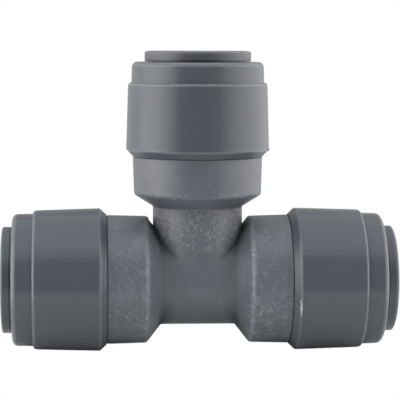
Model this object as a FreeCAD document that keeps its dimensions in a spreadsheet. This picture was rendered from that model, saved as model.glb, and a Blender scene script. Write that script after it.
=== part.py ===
"""Push-in tube tee for 9.5 mm tube: a moulded body with three identical ports.

Each port holds, from the inside out, an inner O-ring, a spacer ring, an outer O-ring, a support ring and
a collet with six grab teeth, all kept in by a snapped-on cap. A port is drawn along its own +Z, with its
origin at the datum of its arm, and is then turned onto the arm. The run lies along X, the branch points
up, and the tee stands on its two run caps at Z = 0. Lengths are millimetres, angles are degrees.
"""
import FreeCAD, Part
import os
import re
import Sketcher

DIMENSIONS = {
    # moulded body: distances run outwards from the crossing of the two passages
    "run_neck_radius": 6.56,
    "branch_neck_radius": 6.5,
    "run_neck_end": 5.4,
    "run_shoulder": 7.5,
    "branch_neck_end": 10.78,
    "branch_shoulder": 12.5,
    "shoulder_radius": 9.24,
    "shoulder_round": 0.6,
    "run_neck_round": 0.3,
    "branch_neck_round": 0.3,
    "socket_radius": 9.39,
    "socket_lead": 0.15,
    "branch_offset": 4.8,
    "flow_radius": 3.6,
    "branch_flow_radius": 3.5,
    "tube_stop": 9.0,
    "seat_radius": 4.85,
    "seat_lead": 0.3,
    "gland_start": 12.3,
    "gland_radius": 7.05,
    "gland_lead": 0.35,
    # spigot below each cap, with its snap ridge
    "cap_seat": 13.28,
    "spigot_radius": 8.2,
    "spigot_end": 19.6,
    "ridge_start": 16.6,
    "ridge_top": 17.0,
    "ridge_end": 18.4,
    "ridge_radius": 8.5,
    # cap
    "cap_foot_radius": 9.47,
    "cap_corner": 14.24,
    "cap_corner_radius": 10.38,
    "cap_corner_round": 0.35,
    "cap_crown": 23.0,
    "cap_crown_radius": 10.13,
    "cap_step": 23.9,
    "cap_step_radius": 10.06,
    "cap_step_round": 0.4,
    "nose_root_radius": 9.62,
    "nose_radius": 9.55,
    "nose_round": 0.8,
    "cap_end": 26.89,
    "mouth_radius": 6.1,
    "mouth_lead": 0.3,
    "lip_start": 25.1,
    "wedge_start": 22.55,
    "cavity_radius": 7.5,
    "snap_gap": 0.05,
    "end_gap": 0.1,
    # collet
    "collet_start": 19.95,
    "collet_bore": 4.95,
    "head_lead_radius": 6.6,
    "head_start": 20.35,
    "head_end": 21.2,
    "head_radius": 7.2,
    "head_cone_end": 23.4,
    "stem_radius": 6.0,
    "flange_back": 26.97,
    "flange_radius": 7.71,
    "flange_side_end": 28.38,
    "flange_round": 0.3,
    "flange_face_radius": 6.9,
    "flange_front": 28.48,
    "funnel_radius": 5.35,
    "funnel_end": 28.0,
    "finger_count": 6,
    "slot_width": 1.2,
    "slot_end": 25.2,
    "slot_reach": 8.0,
    # how far each loose collet has slid out of its middle place
    "left_collet_slid": -0.04,
    "right_collet_slid": 0.16,
    "branch_collet_slid": 0.0,
    # grab teeth, moulded in the collet's finger heads
    "tooth_width": 1.8,
    "tooth_tip": 20.6,
    "tooth_tip_radius": 4.8,
    "tooth_heel": 21.15,
    "tooth_heel_radius": 5.05,
    "tooth_root_radius": 6.5,
    "tooth_root_start": 21.3,
    "tooth_root_end": 21.75,
    # seals: 9.3 x 2.4 mm O-rings and the two rings that hold them
    "seal_centre_radius": 5.84,
    "seal_section_radius": 1.19,
    "inner_seal": 13.5,
    "outer_seal": 17.0,
    "ring_bore": 5.05,
    "ring_radius": 6.98,
    "ring_edge": 0.2,
    "spacer_start": 14.75,
    "spacer_end": 15.75,
    "support_start": 18.25,
    "support_end": 19.3,
}

TOLERANCE = 1e-3
FULL_TURN = 360.0

doc = FreeCAD.newDocument("push_in_tee")
sheet = doc.addObject("Spreadsheet::Sheet", "Dimensions")
for row, (alias, size) in enumerate(DIMENSIONS.items(), start=1):
    sheet.set(f"A{row}", alias)
    sheet.set(f"B{row}", str(size))
    sheet.setAlias(f"B{row}", alias)
doc.recompute()


def value(expression):
    """Number that a sum or difference of dimension names stands for."""
    total = 0.0
    sign = 1.0
    for word in expression.split():
        if word in ("+", "-"):
            sign = 1.0 if word == "+" else -1.0
        elif word != "0":
            total += sign * sheet.get(word)
    return total


def bound(expression):
    """The same expression with every name bound to its cell of the sheet."""
    return re.sub(r"[a-z_]+", lambda found: "Dimensions." + found.group(), expression)


def magnitude(expression):
    """Bound expression of the size of a coordinate, whatever its sign."""
    if value(expression) < 0.0:
        return f"-({bound(expression)})"
    return bound(expression)


def new_body(label):
    """Empty body that becomes the node of the same name."""
    body = doc.addObject("PartDesign::Body", label)
    body.Label = label
    return body


def new_sketch(body, name, role):
    """Sketch on one of the body's own origin planes."""
    plane = next(item for item in body.Origin.OriginFeatures if item.Role == role)
    sketch = body.newObject("Sketcher::SketchObject", name)
    sketch.AttachmentSupport = [(plane, "")]
    sketch.MapMode = "FlatFace"
    return sketch


def hold_point(sketch, line, point):
    """Tie the start of a line to its two coordinates, each given as an expression."""
    start = 1
    origin = (-1, 1)
    other_axis = {"DistanceX": -2, "DistanceY": -1}
    for kind, expression in zip(("DistanceX", "DistanceY"), point):
        size = value(expression)
        if abs(size) < TOLERANCE:
            sketch.addConstraint(Sketcher.Constraint("PointOnObject", line, start, other_axis[kind]))
            continue
        ends = (*origin, line, start) if size > 0.0 else (line, start, *origin)
        index = sketch.addConstraint(Sketcher.Constraint(kind, *ends, abs(size)))
        sketch.setExpression(f"Constraints[{index}]", magnitude(expression))


def outline(sketch, points):
    """Closed outline through points whose coordinates are expressions."""
    corners = [FreeCAD.Vector(value(x), value(y), 0.0) for x, y in points]
    count = len(corners)
    for index in range(count):
        sketch.addGeometry(Part.LineSegment(corners[index], corners[(index + 1) % count]), False)
    for index in range(count):
        following = (index + 1) % count
        sketch.addConstraint(Sketcher.Constraint("Coincident", index, 2, following, 1))
    for index, point in enumerate(points):
        hold_point(sketch, index, point)


def turned(body, kind, name, role, axis, points):
    """Revolution or Groove of an outline, a full turn about an axis of its sketch."""
    sketch = new_sketch(body, name + "_outline", role)
    outline(sketch, points)
    feature = body.newObject("PartDesign::" + kind, name)
    feature.Profile = sketch
    feature.ReferenceAxis = (sketch, [axis])
    feature.Angle = FULL_TURN
    doc.recompute()
    return feature


def ring_edges(shape, direction, rings):
    """Names of the circular edges about an axis at each (distance, radius) pair of expressions."""
    wanted = [(value(distance), value(radius)) for distance, radius in rings]
    names = []
    for index, edge in enumerate(shape.Edges, start=1):
        if not isinstance(edge.Curve, Part.Circle):
            continue
        distance = edge.Curve.Center.dot(direction)
        off_axis = (edge.Curve.Center - direction * distance).Length
        for place, radius in wanted:
            here = abs(distance - place) < TOLERANCE and abs(edge.Curve.Radius - radius) < TOLERANCE
            if here and off_axis < TOLERANCE:
                names.append(f"Edge{index}")
    if len(names) < len(rings):
        raise ValueError(f"found {len(names)} of the {len(rings)} edges {rings}")
    return names


def dressed(body, kind, name, direction, rings, size):
    """Fillet or Chamfer, by one size, of the circular edges at the given rings."""
    base = body.Tip
    feature = body.newObject("PartDesign::" + kind, name)
    feature.Base = (base, ring_edges(base.Shape, direction, rings))
    feature.setExpression("Radius" if kind == "Fillet" else "Size", bound(size))
    doc.recompute()
    return feature


def around(body, name, feature):
    """Repeat a cut once for each finger, about the body's Z axis."""
    axis = next(item for item in body.Origin.OriginFeatures if item.Role == "Z_Axis")
    pattern = body.newObject("PartDesign::PolarPattern", name)
    pattern.Originals = [feature]
    pattern.Axis = (axis, [""])
    pattern.Angle = FULL_TURN
    pattern.setExpression("Occurrences", bound("finger_count"))
    body.Tip = pattern
    doc.recompute()
    return pattern


def across(body, kind, name, role, points, width):
    """Pad or Pocket of an outline, half its width to each side of the sketch plane."""
    sketch = new_sketch(body, name + "_outline", role)
    outline(sketch, points)
    feature = body.newObject("PartDesign::" + kind, name)
    feature.Profile = sketch
    feature.SideType = "Symmetric"
    feature.setExpression("Length", bound(width))
    doc.recompute()
    return feature


X_AXIS = FreeCAD.Vector(1, 0, 0)
Y_AXIS = FreeCAD.Vector(0, 1, 0)
Z_AXIS = FreeCAD.Vector(0, 0, 1)


# ---------------------------------------------------------------- moulded body

SPIGOT = [
    ("spigot_end", "spigot_radius"),
    ("ridge_end", "spigot_radius"),
    ("ridge_top", "ridge_radius"),
    ("ridge_start", "ridge_radius"),
    ("ridge_start", "spigot_radius"),
    ("cap_seat", "spigot_radius"),
    ("cap_seat", "socket_radius"),
]
STEPPED_BORE = [
    ("spigot_end", "gland_radius"),
    ("gland_start", "gland_radius"),
    ("gland_start", "seat_radius"),
    ("tube_stop", "seat_radius"),
    ("tube_stop", "flow_radius"),
]


def both_ways(half):
    """Outline along X made of half an outline and its mirror image in the YZ plane."""
    return half + [(f"- {x}" if x != "0" else x, y) for x, y in reversed(half)]


def up_the_branch(half):
    """Outline in the XZ plane of points along the branch, as (radius, height)."""
    return [(radius, f"{distance} + branch_offset") for distance, radius in half]


def make_tee_body():
    body = new_body("tee_body")
    run_arm = [("spigot_end", "0"), *SPIGOT]
    run_arm += [("run_shoulder", "shoulder_radius"), ("run_neck_end", "run_neck_radius")]
    turned(body, "Revolution", "run", "XY_Plane", "H_Axis", both_ways(run_arm))
    run_necks = [("run_neck_end", "run_neck_radius"), ("- run_neck_end", "run_neck_radius")]
    dressed(body, "Fillet", "run_neck_rounds", X_AXIS, run_necks, "run_neck_round")
    run_shoulders = [("run_shoulder", "shoulder_radius"), ("- run_shoulder", "shoulder_radius")]
    dressed(body, "Fillet", "run_shoulder_rounds", X_AXIS, run_shoulders, "shoulder_round")

    branch_arm = up_the_branch([("spigot_end", "0"), *SPIGOT])
    branch_arm += [("shoulder_radius", "branch_shoulder"), ("branch_neck_radius", "branch_neck_end")]
    branch_arm += [("branch_neck_radius", "0"), ("0", "0")]
    turned(body, "Revolution", "branch", "XZ_Plane", "V_Axis", branch_arm)
    branch_neck = [("branch_neck_end", "branch_neck_radius")]
    dressed(body, "Fillet", "branch_neck_rounding", Z_AXIS, branch_neck, "branch_neck_round")
    branch_shoulder = [("branch_shoulder", "shoulder_radius")]
    dressed(body, "Fillet", "branch_shoulder_rounding", Z_AXIS, branch_shoulder, "shoulder_round")

    run_bore = [("spigot_end", "0"), *STEPPED_BORE]
    turned(body, "Groove", "run_bore", "XY_Plane", "H_Axis", both_ways(run_bore))
    branch_bore = up_the_branch([("spigot_end", "0"), *STEPPED_BORE[:-1]])
    branch_bore += up_the_branch([("tube_stop", "branch_flow_radius")])
    branch_bore += [("branch_flow_radius", "0"), ("0", "0")]
    turned(body, "Groove", "branch_bore", "XZ_Plane", "V_Axis", branch_bore)

    for name, place, radius, size in (
        ("gland_leads", "spigot_end", "gland_radius", "gland_lead"),
        ("seat_leads", "gland_start", "seat_radius", "seat_lead"),
        ("socket_edges", "cap_seat", "socket_radius", "socket_lead"),
    ):
        run_mouths = [(place, radius), (f"- {place}", radius)]
        dressed(body, "Chamfer", "run_" + name, X_AXIS, run_mouths, size)
        branch_mouth = [(f"{place} + branch_offset", radius)]
        dressed(body, "Chamfer", "branch_" + name, Z_AXIS, branch_mouth, size)
    return body


# ------------------------------------------------- pieces of a port, along its +Z

def make_cap(label):
    body = new_body(label)
    outside = [
        ("cap_foot_radius", "cap_seat"),
        ("cap_corner_radius", "cap_corner"),
        ("cap_crown_radius", "cap_crown"),
        ("cap_step_radius", "cap_step"),
        ("nose_root_radius", "cap_step"),
        ("nose_radius", "cap_end"),
    ]
    inside = [
        ("mouth_radius", "cap_end"),
        ("mouth_radius", "lip_start"),
        ("cavity_radius", "wedge_start"),
        ("cavity_radius", "spigot_end + end_gap"),
        ("spigot_radius + snap_gap", "spigot_end + end_gap"),
        ("spigot_radius + snap_gap", "ridge_end + snap_gap"),
        ("ridge_radius + snap_gap", "ridge_top + snap_gap"),
        ("ridge_radius + snap_gap", "ridge_start - snap_gap"),
        ("spigot_radius + snap_gap", "ridge_start - snap_gap"),
        ("spigot_radius + snap_gap", "cap_seat"),
    ]
    turned(body, "Revolution", "shell", "XZ_Plane", "V_Axis", outside + inside)
    corner = [("cap_corner", "cap_corner_radius")]
    dressed(body, "Fillet", "corner_rounding", Z_AXIS, corner, "cap_corner_round")
    step = [("cap_step", "cap_step_radius")]
    dressed(body, "Fillet", "step_rounding", Z_AXIS, step, "cap_step_round")
    nose = [("cap_end", "nose_radius")]
    dressed(body, "Fillet", "nose_rounding", Z_AXIS, nose, "nose_round")
    mouth = [("cap_end", "mouth_radius")]
    dressed(body, "Chamfer", "mouth_chamfer", Z_AXIS, mouth, "mouth_lead")
    return body


TOOTH = [
    ("tooth_tip_radius", "tooth_tip"),
    ("tooth_root_radius", "tooth_root_start"),
    ("tooth_root_radius", "tooth_root_end"),
    ("tooth_heel_radius", "tooth_heel"),
]


def make_collet(label):
    body = new_body(label)
    section = [
        ("collet_bore", "collet_start"),
        ("head_lead_radius", "collet_start"),
        ("head_radius", "head_start"),
        ("head_radius", "head_end"),
        ("stem_radius", "head_cone_end"),
        ("stem_radius", "flange_back"),
        ("flange_radius", "flange_back"),
        ("flange_radius", "flange_side_end"),
        ("flange_face_radius", "flange_front"),
        ("funnel_radius", "flange_front"),
        ("collet_bore", "funnel_end"),
    ]
    turned(body, "Revolution", "sleeve", "XZ_Plane", "V_Axis", section)
    rim = [("flange_side_end", "flange_radius")]
    dressed(body, "Fillet", "rim_rounding", Z_AXIS, rim, "flange_round")
    slot = [("0", "0"), ("slot_reach", "0"), ("slot_reach", "slot_end"), ("0", "slot_end")]
    first_slot = across(body, "Pocket", "slot", "XZ_Plane", slot, "slot_width")
    around(body, "slots", first_slot)
    first_socket = across(body, "Pocket", "tooth_socket", "YZ_Plane", TOOTH, "tooth_width")
    around(body, "tooth_sockets", first_socket)
    return body


def make_tooth(label):
    body = new_body(label)
    across(body, "Pad", "blade", "YZ_Plane", TOOTH, "tooth_width")
    return body


def make_ring(label, start, end):
    body = new_body(label)
    section = [("ring_bore", start), ("ring_radius", start), ("ring_radius", end), ("ring_bore", end)]
    turned(body, "Revolution", "washer", "XZ_Plane", "V_Axis", section)
    edges = [(start, "ring_radius"), (end, "ring_radius")]
    dressed(body, "Chamfer", "outer_edges", Z_AXIS, edges, "ring_edge")
    return body


def make_o_ring(label, middle):
    ring = doc.addObject("Part::Torus", label)
    ring.Label = label
    ring.setExpression("Radius1", bound("seal_centre_radius"))
    ring.setExpression("Radius2", bound("seal_section_radius"))
    ring.Placement = FreeCAD.Placement(Z_AXIS * value(middle), FreeCAD.Rotation())
    return ring


def make_port(port, placement):
    """Every loose piece of one port, moved from the port's own frame onto its arm."""
    slid = Z_AXIS * value(port + "_collet_slid")
    collet = make_collet("collet_" + port)
    collet.Placement = FreeCAD.Placement(slid, FreeCAD.Rotation())
    pieces = [
        make_cap("cap_" + port),
        collet,
        make_o_ring("inner_o_ring_" + port, "inner_seal"),
        make_ring("spacer_ring_" + port, "spacer_start", "spacer_end"),
        make_o_ring("outer_o_ring_" + port, "outer_seal"),
        make_ring("support_ring_" + port, "support_start", "support_end"),
    ]
    fingers = int(value("finger_count"))
    for finger in range(fingers):
        tooth = make_tooth(f"grab_tooth_{port}_{finger + 1}")
        turn = FreeCAD.Rotation(Z_AXIS, finger * FULL_TURN / fingers)
        tooth.Placement = FreeCAD.Placement(slid, turn)
        pieces.append(tooth)
    for piece in pieces:
        piece.Placement = placement.multiply(piece.Placement)
    return pieces


# ------------------------------------------------------------- checks and export

def check(parts):
    """Stop if a feature failed, a cut removed nothing, or a node is not one sound solid."""
    failed = [item.Name for item in doc.Objects if {"Invalid", "Error"} & set(item.State)]
    if failed:
        raise RuntimeError(f"failed features: {failed}")
    cuts = ("PartDesign::Groove", "PartDesign::Pocket", "PartDesign::PolarPattern")
    for item in doc.Objects:
        if item.TypeId in cuts and item.Shape.Volume >= item.BaseFeature.Shape.Volume - TOLERANCE:
            raise RuntimeError(f"{item.Name} cut nothing")
    for part in parts:
        shape = part.Shape
        if shape.isNull() or not shape.isValid() or len(shape.Solids) != 1:
            raise RuntimeError(f"{part.Label} is not one valid solid")


axis_height = value("cap_corner_radius")
crossing = FreeCAD.Vector(0, 0, axis_height)
branch_datum = FreeCAD.Vector(0, 0, axis_height + value("branch_offset"))
PORTS = {
    "left": FreeCAD.Placement(crossing, FreeCAD.Rotation(Y_AXIS, -90)),
    "right": FreeCAD.Placement(crossing, FreeCAD.Rotation(Y_AXIS, 90)),
    "branch": FreeCAD.Placement(branch_datum, FreeCAD.Rotation()),
}

tee_body = make_tee_body()
tee_body.Placement = FreeCAD.Placement(crossing, FreeCAD.Rotation())
nodes = [tee_body]
for port_name, port_placement in PORTS.items():
    nodes += make_port(port_name, port_placement)
doc.recompute()
check(nodes)

os.makedirs("parts", exist_ok=True)
for node in nodes:
    node.Shape.exportStep(f"parts/{node.Label}.step")
    print(node.Label, round(node.Shape.Volume, 3))
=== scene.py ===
"""Looks and stage of the push-in tube tee: moulded grey plastic, seals, teeth, studio and camera.

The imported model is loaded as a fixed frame.  Every piece is in metres in the model's own frame: the run
lies along X, the branch points up and the tee stands on Z = 0.
"""
import math

import bpy
from mathutils import Euler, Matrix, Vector


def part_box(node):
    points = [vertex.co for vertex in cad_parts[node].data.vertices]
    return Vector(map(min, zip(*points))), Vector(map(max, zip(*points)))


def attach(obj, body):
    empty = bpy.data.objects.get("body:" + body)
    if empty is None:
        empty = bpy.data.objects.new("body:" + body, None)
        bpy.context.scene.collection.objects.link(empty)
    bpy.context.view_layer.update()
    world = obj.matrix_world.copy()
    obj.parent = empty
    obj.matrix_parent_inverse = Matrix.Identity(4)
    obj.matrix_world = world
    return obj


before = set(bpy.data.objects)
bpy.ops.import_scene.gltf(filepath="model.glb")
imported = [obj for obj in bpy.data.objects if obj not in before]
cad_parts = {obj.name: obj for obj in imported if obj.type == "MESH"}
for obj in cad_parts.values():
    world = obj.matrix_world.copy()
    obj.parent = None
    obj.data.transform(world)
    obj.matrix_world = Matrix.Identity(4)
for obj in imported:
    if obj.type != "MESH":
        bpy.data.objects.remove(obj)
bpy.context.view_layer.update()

bl_info = {
    "name": "Push-in tube tee",
    "version": (1, 0, 0),
    "blender": (4, 5, 0),
    "location": "View3D > Sidebar > Tube Tee",
    "description": "Finishes and studio for a push-in tube tee",
    "category": "Object",
}

MM = 0.001
PORTS = ("left", "right", "branch")
AXIS_HEIGHT = (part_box("cap_left")[0].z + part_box("cap_left")[1].z) / 2
TEE_CENTRE = Vector((0.0, 0.0, AXIS_HEIGHT))

# Sizes in millimetres, for masks and moulding marks; heights are above the run's axis.
SOCKET_RADIUS = 9.39
SHOULDER_RADIUS = 9.24
SHOULDER_END = 7.5
CAP_SEAT = 13.28
CAP_CORNER = 14.24
CAP_CORNER_RADIUS = 10.38
BRANCH_OFFSET = 4.8
BRANCH_SHOULDER = 12.5
RUN_NECK_RADIUS = 6.56
RUN_NECK_END = 5.4
BRANCH_NECK_RADIUS = 6.5
BRANCH_NECK_END = 10.78
CONE_SLOPE = 1.28
GATE_HEIGHT = -1.6
GATE_RADIUS = 0.3
GATE_SIDES = 16
NICK_PLACE = 14.18
NICK_HEIGHT = -2.9
FLASH_START = 0.7
FLASH_WIDTH = 0.12
BURR_WIDTH = 0.3
GRAIN_DEPTH = 0.014
FILM_DEPTH = 0.01
BRUSHED_DEPTH = 0.004

# Painted highlights along the edges (lighter bands) and painted shade lines (dark bands): distance along
# the port and half width, in millimetres, and strength.
CAP_HIGHLIGHT_EDGES = ((CAP_CORNER, 0.12, 0.1), (23.72, 0.14, 0.16), (26.6, 0.22, 0.12))
COLLET_HIGHLIGHT_EDGES = ((28.36, 0.12, 0.12),)
# Painted shade on the collets: a thin dark line on the flange and a dark band along its back edge, where
# the gap behind the flange lies in shadow.
COLLET_SHADE_LINES = ((27.72, 0.03, 0.3), (27.08, 0.1, 0.8))

# Cosine and sine of the direction of the flow marks on the two sockets of the run.
LEFT_SLANT = (0.62, 0.78)
RIGHT_SLANT = (0.97, 0.22)

# Light from all around: azimuth in degrees, 0 in front and 90 on the right, and level.
LEVEL_AROUND = (
    (-180, 0.4), (-160, 0.6), (-136, 1.0), (-119, 1.4), (-105, 2.5), (-93, 3.3), (-72, 3.35), (-54, 2.4),
    (-45, 1.6), (-38, 0.78), (-34, 0.36), (0, 0.31), (21, 0.42), (36, 0.64), (40, 1.05), (55, 1.9),
    (75, 2.5), (99, 2.6), (113, 2.15), (130, 1.6), (155, 0.7), (180, 0.4),
)
# Light from overhead: angle up from the front over the top, in degrees, and level.
LEVEL_OVERHEAD = (
    (-180, 0.4), (0, 0.4), (42, 1.0), (60, 1.42), (80, 1.5), (116, 1.15), (153, 0.6), (180, 0.4),
)
OVERHEAD_TINT = (0.93, 1.02, 1.04, 1.0)
OVERHEAD_START = (40.0, 44.0)
SKY_PEAK = 4.0

# Opaque colours.
WHITE = (1.0, 1.0, 1.0, 1.0)
FLOOR_WHITE = (0.85, 0.85, 0.85, 1.0)
# Near black: painted shade in the body's creases and hollows and in the collets' gaps, and the dark dot at
# the gate.
SHADE_AND_GATE_BLACK = (0.012, 0.012, 0.012, 1.0)
RUBBER = (0.012, 0.012, 0.012, 1.0)
NATURAL_ACETAL = (0.6, 0.6, 0.57, 1.0)
STEEL = (0.55, 0.55, 0.55, 1.0)

SENSOR_WIDTH = 36.0
CARD_FRONT = 46.0


# ---------------------------------------------------------------------- shader expressions

class Value:
    """A number or vector that varies over a surface; arithmetic on it adds nodes."""

    def __init__(self, finish, socket):
        self.finish = finish
        self.socket = socket

    def _math(self, operation, *terms):
        settings = {"operation": operation}
        return self.finish.node("ShaderNodeMath", settings, dict(enumerate(terms)))

    def __add__(self, other):
        return self._math("ADD", self, other)

    def __radd__(self, other):
        return self._math("ADD", other, self)

    def __sub__(self, other):
        return self._math("SUBTRACT", self, other)

    def __rsub__(self, other):
        return self._math("SUBTRACT", other, self)

    def __mul__(self, other):
        return self._math("MULTIPLY", self, other)

    def __rmul__(self, other):
        return self._math("MULTIPLY", other, self)

    def __truediv__(self, other):
        return self._math("DIVIDE", self, other)

    def __abs__(self):
        return self._math("ABSOLUTE", self)

    def root(self):
        return self._math("SQRT", self)

    def angle(self, other):
        return self._math("ARCTAN2", self, other)

    def arc_sine(self):
        return self._math("ARCSINE", self)

    def higher(self, other):
        return self._math("MAXIMUM", self, other)

    def step(self, low, high, out_low=0.0, out_high=1.0):
        """Smooth step between two levels of this value."""
        settings = {"interpolation_type": "SMOOTHSTEP"}
        inputs = {"Value": self, "From Min": low, "From Max": high, "To Min": out_low, "To Max": out_high}
        return self.finish.node("ShaderNodeMapRange", settings, inputs)

    def band(self, centre, half_width, softness):
        """1 within a half width of a level, falling to 0 over the softness."""
        return abs(self - centre).step(half_width, half_width + softness, 1.0, 0.0)


class Finish:
    """The node tree of one material or world, built from expressions."""

    def __init__(self, name, owner=None):
        self.owner = owner or bpy.data.materials.new(name)
        self.owner.use_nodes = True
        self.tree = self.owner.node_tree
        self.tree.nodes.clear()

    def node(self, kind, settings=None, inputs=None, output=0):
        """Add a node: settings first, then values or links of its sockets."""
        made = self.tree.nodes.new(kind)
        for name, setting in (settings or {}).items():
            if name == "stops":
                self._set_stops(made.color_ramp, setting)
            else:
                setattr(made, name, setting)
        for name, given in (inputs or {}).items():
            if isinstance(given, Value):
                self.tree.links.new(given.socket, made.inputs[name])
            else:
                made.inputs[name].default_value = given
        return Value(self, made.outputs[output]) if len(made.outputs) else made

    @staticmethod
    def _set_stops(ramp, stops):
        while len(ramp.elements) < len(stops):
            ramp.elements.new(1.0)
        for element, (place, colour) in zip(ramp.elements, stops):
            element.position = place
            element.color = colour

    def millimetres(self):
        """Position on the piece in the model's frame, in millimetres."""
        place = self.node("ShaderNodeTexCoord", output="Object")
        return self.node("ShaderNodeVectorMath", {"operation": "SCALE"}, {0: place, "Scale": 1.0 / MM})

    def stretched(self, place, scale, shift=(0.0, 0.0, 0.0)):
        """A position scaled along each axis and shifted."""
        settings = {"operation": "MULTIPLY_ADD"}
        return self.node("ShaderNodeVectorMath", settings, {0: place, 1: scale, 2: shift})

    def shifted(self, place, shift):
        """A position moved elsewhere in a pattern, for a second one unlike the first."""
        return self.stretched(place, (1.0, 1.0, 1.0), shift)

    def split(self, place):
        """The three coordinates of a position."""
        made = self.node("ShaderNodeSeparateXYZ", inputs={0: place}).socket.node
        return tuple(Value(self, socket) for socket in made.outputs)

    def joined(self, x, y, z):
        return self.node("ShaderNodeCombineXYZ", inputs={0: x, 1: y, 2: z})

    def length(self, place):
        return self.node("ShaderNodeVectorMath", {"operation": "LENGTH"}, {0: place}, output="Value")

    def noise(self, place, scale, detail=2.0, roughness=0.5, distortion=0.0):
        inputs = {"Vector": place, "Scale": scale, "Detail": detail, "Roughness": roughness}
        inputs["Distortion"] = distortion
        return self.node("ShaderNodeTexNoise", inputs=inputs)

    def blend(self, factor, first, second):
        """Mix of two colours."""
        settings = {"data_type": "RGBA"}
        return self.node("ShaderNodeMix", settings, {0: factor, 6: first, 7: second}, output=2)

    def relief(self, height, depth):
        """Bump from a height of 0 to 1 that stands for a depth in millimetres."""
        return self.node("ShaderNodeBump", inputs={"Distance": depth * MM, "Height": height})

    def surface(self, **inputs):
        """Principled surface; keyword names are its sockets with underscores for spaces."""
        sockets = {name.replace("_", " "): given for name, given in inputs.items()}
        shader = self.node("ShaderNodeBsdfPrincipled", inputs=sockets)
        self.node("ShaderNodeOutputMaterial", inputs={"Surface": shader})
        return self.owner


# ---------------------------------------------------------------------- settings

class TeeFinishSettings(bpy.types.PropertyGroup):
    """Colours and wear of the pieces."""

    plastic: bpy.props.FloatVectorProperty(
        name="Plastic", description="Colour of the moulded grey plastic",
        default=(0.066, 0.072, 0.084), size=3, min=0.0, max=1.0, subtype="COLOR",
    )
    polished_plastic: bpy.props.FloatVectorProperty(
        name="Polished plastic", description="Colour of the smooth plastic where its tone is lighter",
        default=(0.069, 0.075, 0.08625), size=3, min=0.0, max=1.0, subtype="COLOR",
    )
    # Also the colour of the painted highlights along the edges of the caps, the collets and the body's
    # shoulders.
    scuff_and_highlight: bpy.props.FloatVectorProperty(
        name="Scuff", description="Colour of scratches and worn edges",
        default=(0.46, 0.46, 0.47), size=3, min=0.0, max=1.0, subtype="COLOR",
    )
    body_lift: bpy.props.FloatProperty(
        name="Body lift", description="How much lighter the body's matt skin is than the caps",
        default=1.42, min=0.5, max=3.0,
    )
    body_roughness: bpy.props.FloatProperty(
        name="Body roughness", description="Roughness of the scuffed body",
        default=0.36, min=0.0, max=1.0, subtype="FACTOR",
    )
    flash_rise: bpy.props.FloatProperty(
        name="Flash rise", description="How far the parting lines stand out",
        default=0.03 * MM, min=0.0, unit="LENGTH", precision=6,
    )
    cap_roughness: bpy.props.FloatProperty(
        name="Cap roughness", description="Roughness of the smooth caps",
        default=0.2, min=0.0, max=1.0, subtype="FACTOR",
    )
    collet_roughness: bpy.props.FloatProperty(
        name="Collet roughness", description="Roughness of the collets",
        default=0.32, min=0.0, max=1.0, subtype="FACTOR",
    )


class TeeStageSettings(bpy.types.PropertyGroup):
    """Camera, floor and light."""

    distance: bpy.props.FloatProperty(
        name="Distance", description="From the camera to its target", default=0.25948, unit="LENGTH",
    )
    azimuth: bpy.props.FloatProperty(
        name="Azimuth", description="Camera's turn to the left of the tee's front",
        default=math.radians(3.709), subtype="ANGLE",
    )
    elevation: bpy.props.FloatProperty(
        name="Elevation", description="Camera's height above the horizon",
        default=math.radians(4.976), subtype="ANGLE",
    )
    roll: bpy.props.FloatProperty(
        name="Roll", description="Camera's roll about its own axis",
        default=math.radians(0.162), subtype="ANGLE",
    )
    lens: bpy.props.FloatProperty(
        name="Lens", description="Focal length on a 36 mm sensor", default=160.07, min=10.0,
    )
    target: bpy.props.FloatVectorProperty(
        name="Target", description="Point above the crossing that the camera looks at",
        default=(0.373 * MM, 0.0, 11.589 * MM), size=3, subtype="TRANSLATION", unit="LENGTH",
    )
    floor_size: bpy.props.FloatProperty(
        name="Floor size", description="Side of the square floor", default=12.0, unit="LENGTH",
    )
    card_size: bpy.props.FloatProperty(
        name="Card size", description="Side of the white card that bounces light up",
        default=0.1, unit="LENGTH",
    )


# ---------------------------------------------------------------------- finishes

def turned(along, across, direction):
    """Two surface coordinates turned by an angle that is given as its cosine and sine."""
    cosine, sine = direction
    return along * cosine - across * sine, along * sine + across * cosine


def strokes(finish, along, across, length, width, seed, low, high):
    """Broken fine lines drawn out in one direction; sizes in millimetres."""
    drawn = finish.joined(along / length, across / width, seed)
    return finish.noise(drawn, 1.0, 1.0, 0.5).step(low, high)


def squiggles(finish, place, scale, width, low, high):
    """Short worm-like scratches: contour lines of one noise, broken up by another."""
    lines = finish.noise(place, scale, 1.0, 0.5, 0.6).band(0.5, width, width)
    breaks = finish.noise(finish.shifted(place, (31.0, 7.0, 3.0)), scale * 0.8, 1.0, 0.5)
    return lines * breaks.step(low, high)


def polished(finish, place):
    """Slow change of tone of the plastic, from 0 to 1."""
    return finish.noise(place, 0.35, 3.0, 0.6).step(0.3, 0.7)


def lifted(settings, gain):
    """Colour of the body: its matt skin is lighter and a little warmer than the smooth plastic."""
    red, green, blue = (channel * settings.body_lift * gain for channel in settings.plastic)
    return (red * 1.03, green, blue * 0.975, 1.0)


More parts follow.
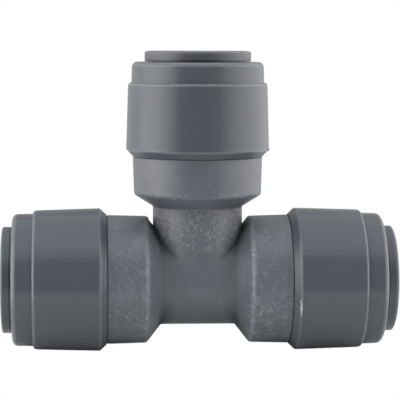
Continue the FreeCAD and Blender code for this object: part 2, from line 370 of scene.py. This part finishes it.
class BodyPlace:
    """Where a point of the body lies, in millimetres, and how far it is on each part, from 0 to 1."""

    def __init__(self, finish, place):
        self.place = place
        self.x, self.y, z = finish.split(place)
        self.height = z - AXIS_HEIGHT / MM
        self.across = abs(self.x)
        self.round_run = self.height.angle(-1.0 * self.y) * SOCKET_RADIUS
        self.round_branch = self.x.angle(-1.0 * self.y) * SOCKET_RADIUS
        above_gate = self.height - GATE_HEIGHT
        self.from_gate = (self.x * self.x + above_gate * above_gate).root()
        self.fan = self.x.angle(above_gate)

        self.front = self.y.step(-1.0, 1.0, 1.0, 0.0)
        self.branch = self.height.step(10.4, 11.2)
        self.off_branch = 1.0 - self.branch
        self.left = self.x.step(-7.2, -6.4, 1.0, 0.0) * self.off_branch
        self.right = self.x.step(6.4, 7.2) * self.off_branch
        inside = self.across.step(6.2, 6.8, 1.0, 0.0)
        self.neck = self.height.step(3.2, 6.0) * self.off_branch * inside
        self.middle = self.height.step(3.2, 6.0, 1.0, 0.0) * inside


def flow_marks(finish, body):
    """Fine lines that the plastic left as it filled the mould; each part has its own direction."""
    slanted = strokes(finish, *turned(body.x, body.round_run, LEFT_SLANT), 2.0, 0.15, 1.0, 0.5, 0.68)
    level = strokes(finish, *turned(body.x, body.round_run, RIGHT_SLANT), 1.5, 0.17, 4.0, 0.54, 0.72)
    upright = strokes(finish, body.height, body.round_branch, 1.6, 0.14, 7.0, 0.46, 0.78)
    fanned = strokes(finish, body.from_gate, body.fan * 8.0, 0.7, 0.09, 9.0, 0.5, 0.68)
    arcs = strokes(finish, body.fan * 5.0, body.from_gate, 2.0, 0.14, 12.0, 0.46, 0.72)
    high_up = body.round_run.step(-9.0, 2.0, 0.35, 1.0)
    flow = body.left * slanted * high_up * 0.15 + body.right * level * 0.12 + body.branch * upright * 0.045
    return flow + body.neck * fanned * 0.2 + body.middle * arcs * body.front * 0.06


def scuffs_and_highlight(finish, body):
    """Scratches and flecks from handling, thickest low on the sockets, and worn shoulders whose edges also
    get a painted highlight.
    """
    place = body.place
    worms = squiggles(finish, place, 0.9, 0.03, 0.5, 0.6)
    small_worms = squiggles(finish, finish.shifted(place, (3.0, 5.0, 8.0)), 1.5, 0.035, 0.48, 0.6)
    flecks = finish.noise(finish.stretched(place, (3.2, 3.2, 1.6)), 1.0, 2.0, 0.6).step(0.64, 0.73)
    specks = finish.noise(place, 3.6, 2.0, 0.6).step(0.58, 0.7)
    patches = finish.noise(place, 0.28, 2.0, 0.5).step(0.35, 0.6)

    low_down = body.round_run.step(-8.0, 4.0, 1.0, 0.25)
    near_edge = body.across.step(7.0, 11.5, 1.0, 0.45)
    wear_and_highlight = (body.left * 0.6 + body.right) * low_down * near_edge * worms.higher(small_worms) * 0.3
    flecked = body.branch * 0.4 + body.left * 0.7 + body.right * 0.8 + body.neck * 0.55
    wear_and_highlight = wear_and_highlight + flecked * flecks * 0.32 + body.neck * small_worms * 0.16

    # The shoulders' edges: rubbed specks, and an even lighter band that is a painted highlight; both
    # stronger on the right.
    run_edge = body.across.band(SHOULDER_END + 0.05, 0.1, 0.35) * body.off_branch
    branch_edge = body.height.band(BRANCH_SHOULDER + 0.1, 0.2, 0.7)
    rubbed_and_highlight = (0.12 + specks * 0.2 + patches * specks * 0.5) * (0.85 + body.right * 0.4)
    return wear_and_highlight + run_edge * rubbed_and_highlight + branch_edge * specks * 0.35


def hollows(body):
    """Painted shade for the creases, under the branch and at the caps' seats, and how far a point is in a
    cone's foot, which gets painted shade too.
    """
    cone = (body.across - RUN_NECK_END).higher(0.0) * CONE_SLOPE
    out_of_run = (body.y * body.y + body.height * body.height).root() - RUN_NECK_RADIUS - cone
    out_of_branch = (body.x * body.x + body.y * body.y).root() - BRANCH_NECK_RADIUS
    crease = (abs(out_of_run) + abs(out_of_branch)).step(0.0, 1.8, 1.0, 0.0) * body.across.step(2.6, 5.6)
    to_socket = abs(out_of_branch) + abs(body.height - BRANCH_NECK_END)
    under_branch = to_socket.step(0.0, 1.6, 1.0, 0.0)
    seat = body.across.higher(body.height - BRANCH_OFFSET).step(CAP_SEAT - 0.48, CAP_SEAT - 0.03)
    shade = (crease * 0.6).higher(under_branch * 0.2).higher(seat * 0.15)
    to_foot = abs(out_of_run) + abs(body.across - RUN_NECK_END)
    foot = to_foot.step(0.1, 0.8, 1.0, 0.0) * body.off_branch
    return shade, foot


def body_finish(settings):
    """Moulded grey plastic: flow marks from the gate, scuffs from handling and worn edges, with a painted
    highlight on the shoulders' edges and painted shade in the creases and hollows.
    """
    finish = Finish("body_plastic_scuffed")
    body = BodyPlace(finish, finish.millimetres())
    grain = finish.noise(body.place, 7.0, 3.0, 0.6)
    flow = flow_marks(finish, body)
    wear_and_highlight = scuffs_and_highlight(finish, body)
    shade, foot = hollows(body)
    gate = body.from_gate.band(0.0, 0.14, 0.1) * body.front

    tone = finish.blend(polished(finish, body.place), lifted(settings, 0.94), lifted(settings, 1.08))
    base = finish.blend(flow + wear_and_highlight + (grain - 0.5) * 0.07, tone, (*settings.scuff_and_highlight, 1.0))
    # Painted shade in the creases, under the branch, at the caps' seats and at the cones' feet, and a dark
    # dot at the gate.
    base = finish.blend(shade.higher(gate * 0.35).higher(foot * 0.07), base, SHADE_AND_GATE_BLACK)
    matt = wear_and_highlight * 0.4 + shade * 0.3 + foot * 0.35
    return finish.surface(
        Base_Color=base, Roughness=settings.body_roughness + (grain - 0.5) * 0.15 + matt,
        Normal=finish.relief(grain * 0.5 + flow * 2.0 + wear_and_highlight, GRAIN_DEPTH),
    )


def nick(finish, x, y, height, wobble):
    """Upright white nick in the front of the right cap's corner."""
    wander = x - NICK_PLACE + (wobble - 0.5) * 0.9
    reach = finish.length(finish.joined(wander, 0.0, (height - NICK_HEIGHT) * 0.1))
    return reach.step(0.06, 0.17, 1.0, 0.0) * y.step(-6.0, -4.0, 1.0, 0.0)


def smooth_finish(name, settings, roughness, highlight_edges, lines=()):
    """Smooth grey plastic: fine orange peel, a few rubbed spots, painted highlights along the edges,
    painted shade lines where given, and a matt foot.
    """
    finish = Finish(name)
    place = finish.millimetres()
    x, y, z = finish.split(place)
    height = z - AXIS_HEIGHT / MM
    along = abs(x).higher(height - BRANCH_OFFSET)
    grain = finish.noise(place, 5.0, 3.0, 0.65)
    peel = finish.noise(place, 1.6, 2.0, 0.5)
    flecks = finish.noise(finish.shifted(place, (5.0, 9.0, 2.0)), 2.6, 2.0, 0.6).step(0.68, 0.75)

    wear_and_highlight = flecks * 0.05 + nick(finish, x, y, height, peel) * 0.8
    # Painted highlights: a lighter band along each rounded edge, added to the real flecks and nick.
    for centre, half_width, strength in highlight_edges:
        wear_and_highlight = wear_and_highlight + along.band(centre, half_width, half_width) * (peel + 0.5) * strength
    tone = finish.blend(
        polished(finish, place), (*settings.plastic, 1.0), (*settings.polished_plastic, 1.0),
    )
    base = finish.blend(wear_and_highlight + (grain - 0.5) * 0.06, tone, (*settings.scuff_and_highlight, 1.0))
    # Painted shade: dark bands where a gap lies in shadow.
    for centre, half_width, strength in lines:
        base = finish.blend(along.band(centre, half_width, half_width) * strength, base, SHADE_AND_GATE_BLACK)
    matt = wear_and_highlight * 0.3 + along.step(CAP_CORNER - 0.3, CAP_CORNER, 1.0, 0.0) * 0.22
    return finish.surface(
        Base_Color=base, Roughness=roughness + (grain - 0.5) * 0.12 + matt,
        Normal=finish.relief(peel * 0.8 + grain * 0.2, GRAIN_DEPTH),
    )


def rubber_finish():
    """Black rubber under an uneven film of grease."""
    finish = Finish("seal_rubber_greased")
    film = finish.noise(finish.millimetres(), 1.5, 3.0, 0.6)
    return finish.surface(
        Base_Color=RUBBER, Roughness=film.step(0.3, 0.7, 0.25, 0.5), Normal=finish.relief(film, FILM_DEPTH),
    )


def ring_finish():
    """Uncoloured moulded plastic with a fine grain."""
    finish = Finish("ring_plastic_natural")
    grain = finish.noise(finish.millimetres(), 4.0, 3.0, 0.6)
    return finish.surface(
        Base_Color=NATURAL_ACETAL, Roughness=grain.step(0.3, 0.7, 0.35, 0.5),
        Normal=finish.relief(grain, FILM_DEPTH),
    )


def steel_finish():
    """Bright rolled strip with fine drawn lines."""
    finish = Finish("tooth_steel_bright")
    lines = finish.noise(finish.stretched(finish.millimetres(), (14.0, 14.0, 2.0)), 1.0, 3.0, 0.6)
    return finish.surface(
        Base_Color=STEEL, Metallic=1.0, Roughness=lines.step(0.3, 0.7, 0.22, 0.4),
        Normal=finish.relief(lines, BRUSHED_DEPTH),
    )


def dress(node, material):
    """Give a carried CAD node its finish."""
    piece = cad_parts[node]
    piece.data.materials.clear()
    piece.data.materials.append(material)


# ---------------------------------------------------------------------- finishing the CAD pieces

class TEE_OT_body(bpy.types.Operator):
    """Finish the moulded body."""

    bl_idname = "tee.body"
    bl_label = "Body"

    def execute(self, context):
        dress("tee_body", body_finish(context.scene.tee_finish))
        return {"FINISHED"}


class TEE_OT_caps(bpy.types.Operator):
    """Finish the three caps."""

    bl_idname = "tee.caps"
    bl_label = "Caps"

    def execute(self, context):
        settings = context.scene.tee_finish
        material = smooth_finish("cap_plastic_smooth", settings, settings.cap_roughness, CAP_HIGHLIGHT_EDGES)
        for port in PORTS:
            dress(f"cap_{port}", material)
        return {"FINISHED"}


class TEE_OT_collets(bpy.types.Operator):
    """Finish the three collets and their teeth."""

    bl_idname = "tee.collets"
    bl_label = "Collets"

    def execute(self, context):
        settings = context.scene.tee_finish
        name = "collet_plastic_smooth"
        plastic = smooth_finish(name, settings, settings.collet_roughness, COLLET_HIGHLIGHT_EDGES, COLLET_SHADE_LINES)
        steel = steel_finish()
        for port in PORTS:
            dress(f"collet_{port}", plastic)
        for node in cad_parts:
            if node.startswith("grab_tooth"):
                dress(node, steel)
        return {"FINISHED"}


class TEE_OT_seals(bpy.types.Operator):
    """Finish the O-rings and the rings between them."""

    bl_idname = "tee.seals"
    bl_label = "Seals"

    def execute(self, context):
        rubber = rubber_finish()
        plastic = ring_finish()
        for port in PORTS:
            for place in ("inner", "outer"):
                dress(f"{place}_o_ring_{port}", rubber)
            for kind in ("spacer", "support"):
                dress(f"{kind}_ring_{port}", plastic)
        return {"FINISHED"}


# ---------------------------------------------------------------------- moulding marks

def solid(name, corners, faces, node):
    """Small solid on the fitting, with a node's finish; corners in millimetres from the crossing."""
    mesh = bpy.data.meshes.new(name)
    mesh.from_pydata([(Vector(corner) * MM + TEE_CENTRE)[:] for corner in corners], [], faces)
    piece = bpy.data.objects.new(name, mesh)
    bpy.context.scene.collection.objects.link(piece)
    mesh.materials.append(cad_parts[node].data.materials[0])
    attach(piece, "fitting")


def ridge(name, start, end, outward, width, rise, node="tee_body"):
    """Low ridge of triangular section from one point to another."""
    start, end, outward = Vector(start), Vector(end), Vector(outward)
    side = (end - start).cross(outward).normalized() * (width / 2)
    corners = []
    for point in (start, end):
        corners += [point - side - outward * rise, point + side - outward * rise, point + outward * rise]
    faces = [(0, 1, 2), (5, 4, 3), (0, 3, 4, 1), (1, 4, 5, 2), (2, 5, 3, 0)]
    solid(name, corners, faces, node)


def add_parting_lines(rise):
    """Flash along the top and bottom of the run's sockets and along both sides of the branch's socket."""
    far = CAP_SEAT - 0.2
    for port, side in (("left", -1.0), ("right", 1.0)):
        for edge, up in (("top", 1.0), ("bottom", -1.0)):
            start = (side * (SHOULDER_END + FLASH_START), 0.0, up * SHOULDER_RADIUS)
            end = (side * far, 0.0, up * SOCKET_RADIUS)
            ridge(f"parting_line_{port}_{edge}", start, end, (0.0, 0.0, up), FLASH_WIDTH, rise)
        start = (side * SHOULDER_RADIUS, 0.0, BRANCH_SHOULDER + FLASH_START)
        end = (side * SOCKET_RADIUS, 0.0, BRANCH_OFFSET + far)
        ridge(f"parting_line_branch_{port}", start, end, (side, 0.0, 0.0), FLASH_WIDTH, rise)


def add_gate():
    """Round stub that the gate left, low on the front of the run."""
    centre = Vector((0.0, -math.sqrt(RUN_NECK_RADIUS ** 2 - GATE_HEIGHT ** 2), GATE_HEIGHT))
    outward = centre.normalized()
    side = Vector((1.0, 0.0, 0.0))
    up = side.cross(outward)
    count = GATE_SIDES
    turns = [2.0 * math.pi * index / count for index in range(count)]
    spokes = [side * math.cos(turn) + up * math.sin(turn) for turn in turns]
    corners = [centre + spoke * GATE_RADIUS - outward * 0.05 for spoke in spokes]
    corners += [centre + spoke * (GATE_RADIUS - 0.04) + outward * 0.03 for spoke in spokes]
    faces = [tuple(reversed(range(count))), tuple(range(count, 2 * count))]
    faces += [(i, (i + 1) % count, count + (i + 1) % count, count + i) for i in range(count)]
    solid("gate_vestige", corners, faces, "tee_body")


def add_burrs():
    """Small burrs at the corner of the branch cap and on the left shoulder."""
    start = (CAP_CORNER_RADIUS - 0.13, -0.3, BRANCH_OFFSET + CAP_CORNER - 0.29)
    end = (CAP_CORNER_RADIUS - 0.06, -0.3, BRANCH_OFFSET + CAP_CORNER + 0.11)
    ridge("burr_branch_cap", start, end, (1.0, 0.0, 0.0), BURR_WIDTH, 0.16, "cap_branch")
    start = (-SHOULDER_END + 0.35, -0.1, SHOULDER_RADIUS - 0.29)
    end = (-SHOULDER_END - 0.25, -0.1, SHOULDER_RADIUS - 0.02)
    ridge("burr_left_shoulder", start, end, (0.0, 0.0, 1.0), BURR_WIDTH, 0.12)


class TEE_OT_moulding(bpy.types.Operator):
    """Add the marks left by the mould: parting lines, the gate and two small burrs."""

    bl_idname = "tee.moulding"
    bl_label = "Moulding marks"

    def execute(self, context):
        add_parting_lines(context.scene.tee_finish.flash_rise / MM)
        add_gate()
        add_burrs()
        return {"FINISHED"}


# ---------------------------------------------------------------------- stage

def level_at(sky, degrees, stops):
    """Level at an angle, in straight lines between stops of angle and level."""
    settings = {"stops": [(turn / 360 + 0.5, (*[level / SKY_PEAK] * 3, 1.0)) for turn, level in stops]}
    return sky.node("ShaderNodeValToRGB", settings, {"Fac": degrees / 360.0 + 0.5}) * SKY_PEAK


def studio_world():
    """Soft studio light: boxes at the left, at the right and overhead, with a dim gap in front."""
    world = bpy.data.worlds.new("studio")
    sky = Finish("studio", owner=world)
    x, y, z = sky.split(sky.node("ShaderNodeTexCoord", output="Generated"))
    to_degrees = 180.0 / math.pi
    around = level_at(sky, x.angle(-1.0 * y) * to_degrees, LEVEL_AROUND)
    overhead = level_at(sky, z.angle(-1.0 * y) * to_degrees, LEVEL_OVERHEAD)
    above = (z.arc_sine() * to_degrees).step(*OVERHEAD_START)
    shader = sky.node("ShaderNodeBackground", inputs={
        "Color": sky.blend(above, WHITE, OVERHEAD_TINT),
        "Strength": around + above * (overhead - around),
    })
    sky.node("ShaderNodeOutputWorld", inputs={"Surface": shader})
    return world


def backdrop_finish():
    """Plain white that is only seen and gives no light."""
    finish = Finish("backdrop_white")
    shader = finish.node("ShaderNodeEmission", inputs={"Color": WHITE, "Strength": 1.0})
    finish.node("ShaderNodeOutputMaterial", inputs={"Surface": shader})
    return finish.owner


def floor_finish():
    """Matt white that bounces the light up."""
    return Finish("floor_matt").surface(Base_Color=FLOOR_WHITE, Roughness=1.0, Specular_IOR_Level=0.0)


def add_card(size):
    """White card under the tee that bounces light up and isn't seen itself."""
    bpy.ops.mesh.primitive_plane_add(size=size, location=(0.0, size / 2 - CARD_FRONT * MM, 0.0))
    card = bpy.context.active_object
    card.name = "floor_bounce"
    card.data.materials.append(floor_finish())
    card.visible_camera = False


def add_seen_only(name):
    """Turn the new active object into a plain white part of the stage that only the camera sees."""
    seen = bpy.context.active_object
    seen.name = name
    seen.data.materials.append(backdrop_finish())
    seen.visible_diffuse = False
    seen.visible_glossy = False
    seen.visible_transmission = False
    seen.visible_shadow = False


def add_camera(stage):
    """Camera that looks at its target from the front, a little above and to the left."""
    lens = bpy.data.cameras.new("camera")
    lens.lens = stage.lens
    lens.sensor_width = SENSOR_WIDTH
    camera = bpy.data.objects.new("camera", lens)
    bpy.context.scene.collection.objects.link(camera)
    aim = Euler((math.pi / 2 - stage.elevation, 0.0, -stage.azimuth)).to_quaternion()
    target = TEE_CENTRE + Vector(stage.target)
    camera.rotation_mode = "QUATERNION"
    camera.rotation_quaternion = aim @ Euler((0.0, 0.0, stage.roll)).to_quaternion()
    camera.location = target + aim @ Vector((0.0, 0.0, stage.distance))
    bpy.context.scene.camera = camera


class TEE_OT_stage(bpy.types.Operator):
    """Make the floor, the light and the camera."""

    bl_idname = "tee.stage"
    bl_label = "Stage"

    def execute(self, context):
        stage = context.scene.tee_stage
        add_card(stage.card_size)
        bpy.ops.mesh.primitive_plane_add(size=stage.floor_size, location=(0.0, 0.0, -0.01 * MM))
        add_seen_only("floor")
        bpy.ops.mesh.primitive_uv_sphere_add(segments=64, ring_count=32, radius=stage.floor_size / 3)
        add_seen_only("backdrop")
        context.scene.world = studio_world()
        context.scene.view_settings.view_transform = "Standard"
        add_camera(stage)
        return {"FINISHED"}


class TEE_PT_panel(bpy.types.Panel):
    """Lists the pieces and their settings."""

    bl_label = "Tube Tee"
    bl_idname = "TEE_PT_panel"
    bl_space_type = "VIEW_3D"
    bl_region_type = "UI"
    bl_category = "Tube Tee"

    def draw(self, context):
        layout = self.layout
        for operator in OPERATORS:
            layout.operator(operator.bl_idname)
        for group in (context.scene.tee_finish, context.scene.tee_stage):
            for name in group.__annotations__:
                layout.prop(group, name)


SETTINGS = (TeeFinishSettings, TeeStageSettings)
OPERATORS = (TEE_OT_body, TEE_OT_caps, TEE_OT_collets, TEE_OT_seals, TEE_OT_moulding, TEE_OT_stage)


def register():
    for cls in (*SETTINGS, *OPERATORS, TEE_PT_panel):
        bpy.utils.register_class(cls)
    bpy.types.Scene.tee_finish = bpy.props.PointerProperty(type=TeeFinishSettings)
    bpy.types.Scene.tee_stage = bpy.props.PointerProperty(type=TeeStageSettings)


def unregister():
    del bpy.types.Scene.tee_finish
    del bpy.types.Scene.tee_stage
    for cls in reversed((*SETTINGS, *OPERATORS, TEE_PT_panel)):
        bpy.utils.unregister_class(cls)


def main():
    register()
    bpy.ops.tee.body()
    bpy.ops.tee.caps()
    bpy.ops.tee.collets()
    bpy.ops.tee.seals()
    bpy.ops.tee.moulding()
    bpy.ops.tee.stage()


if __name__ == "__main__":
    main()
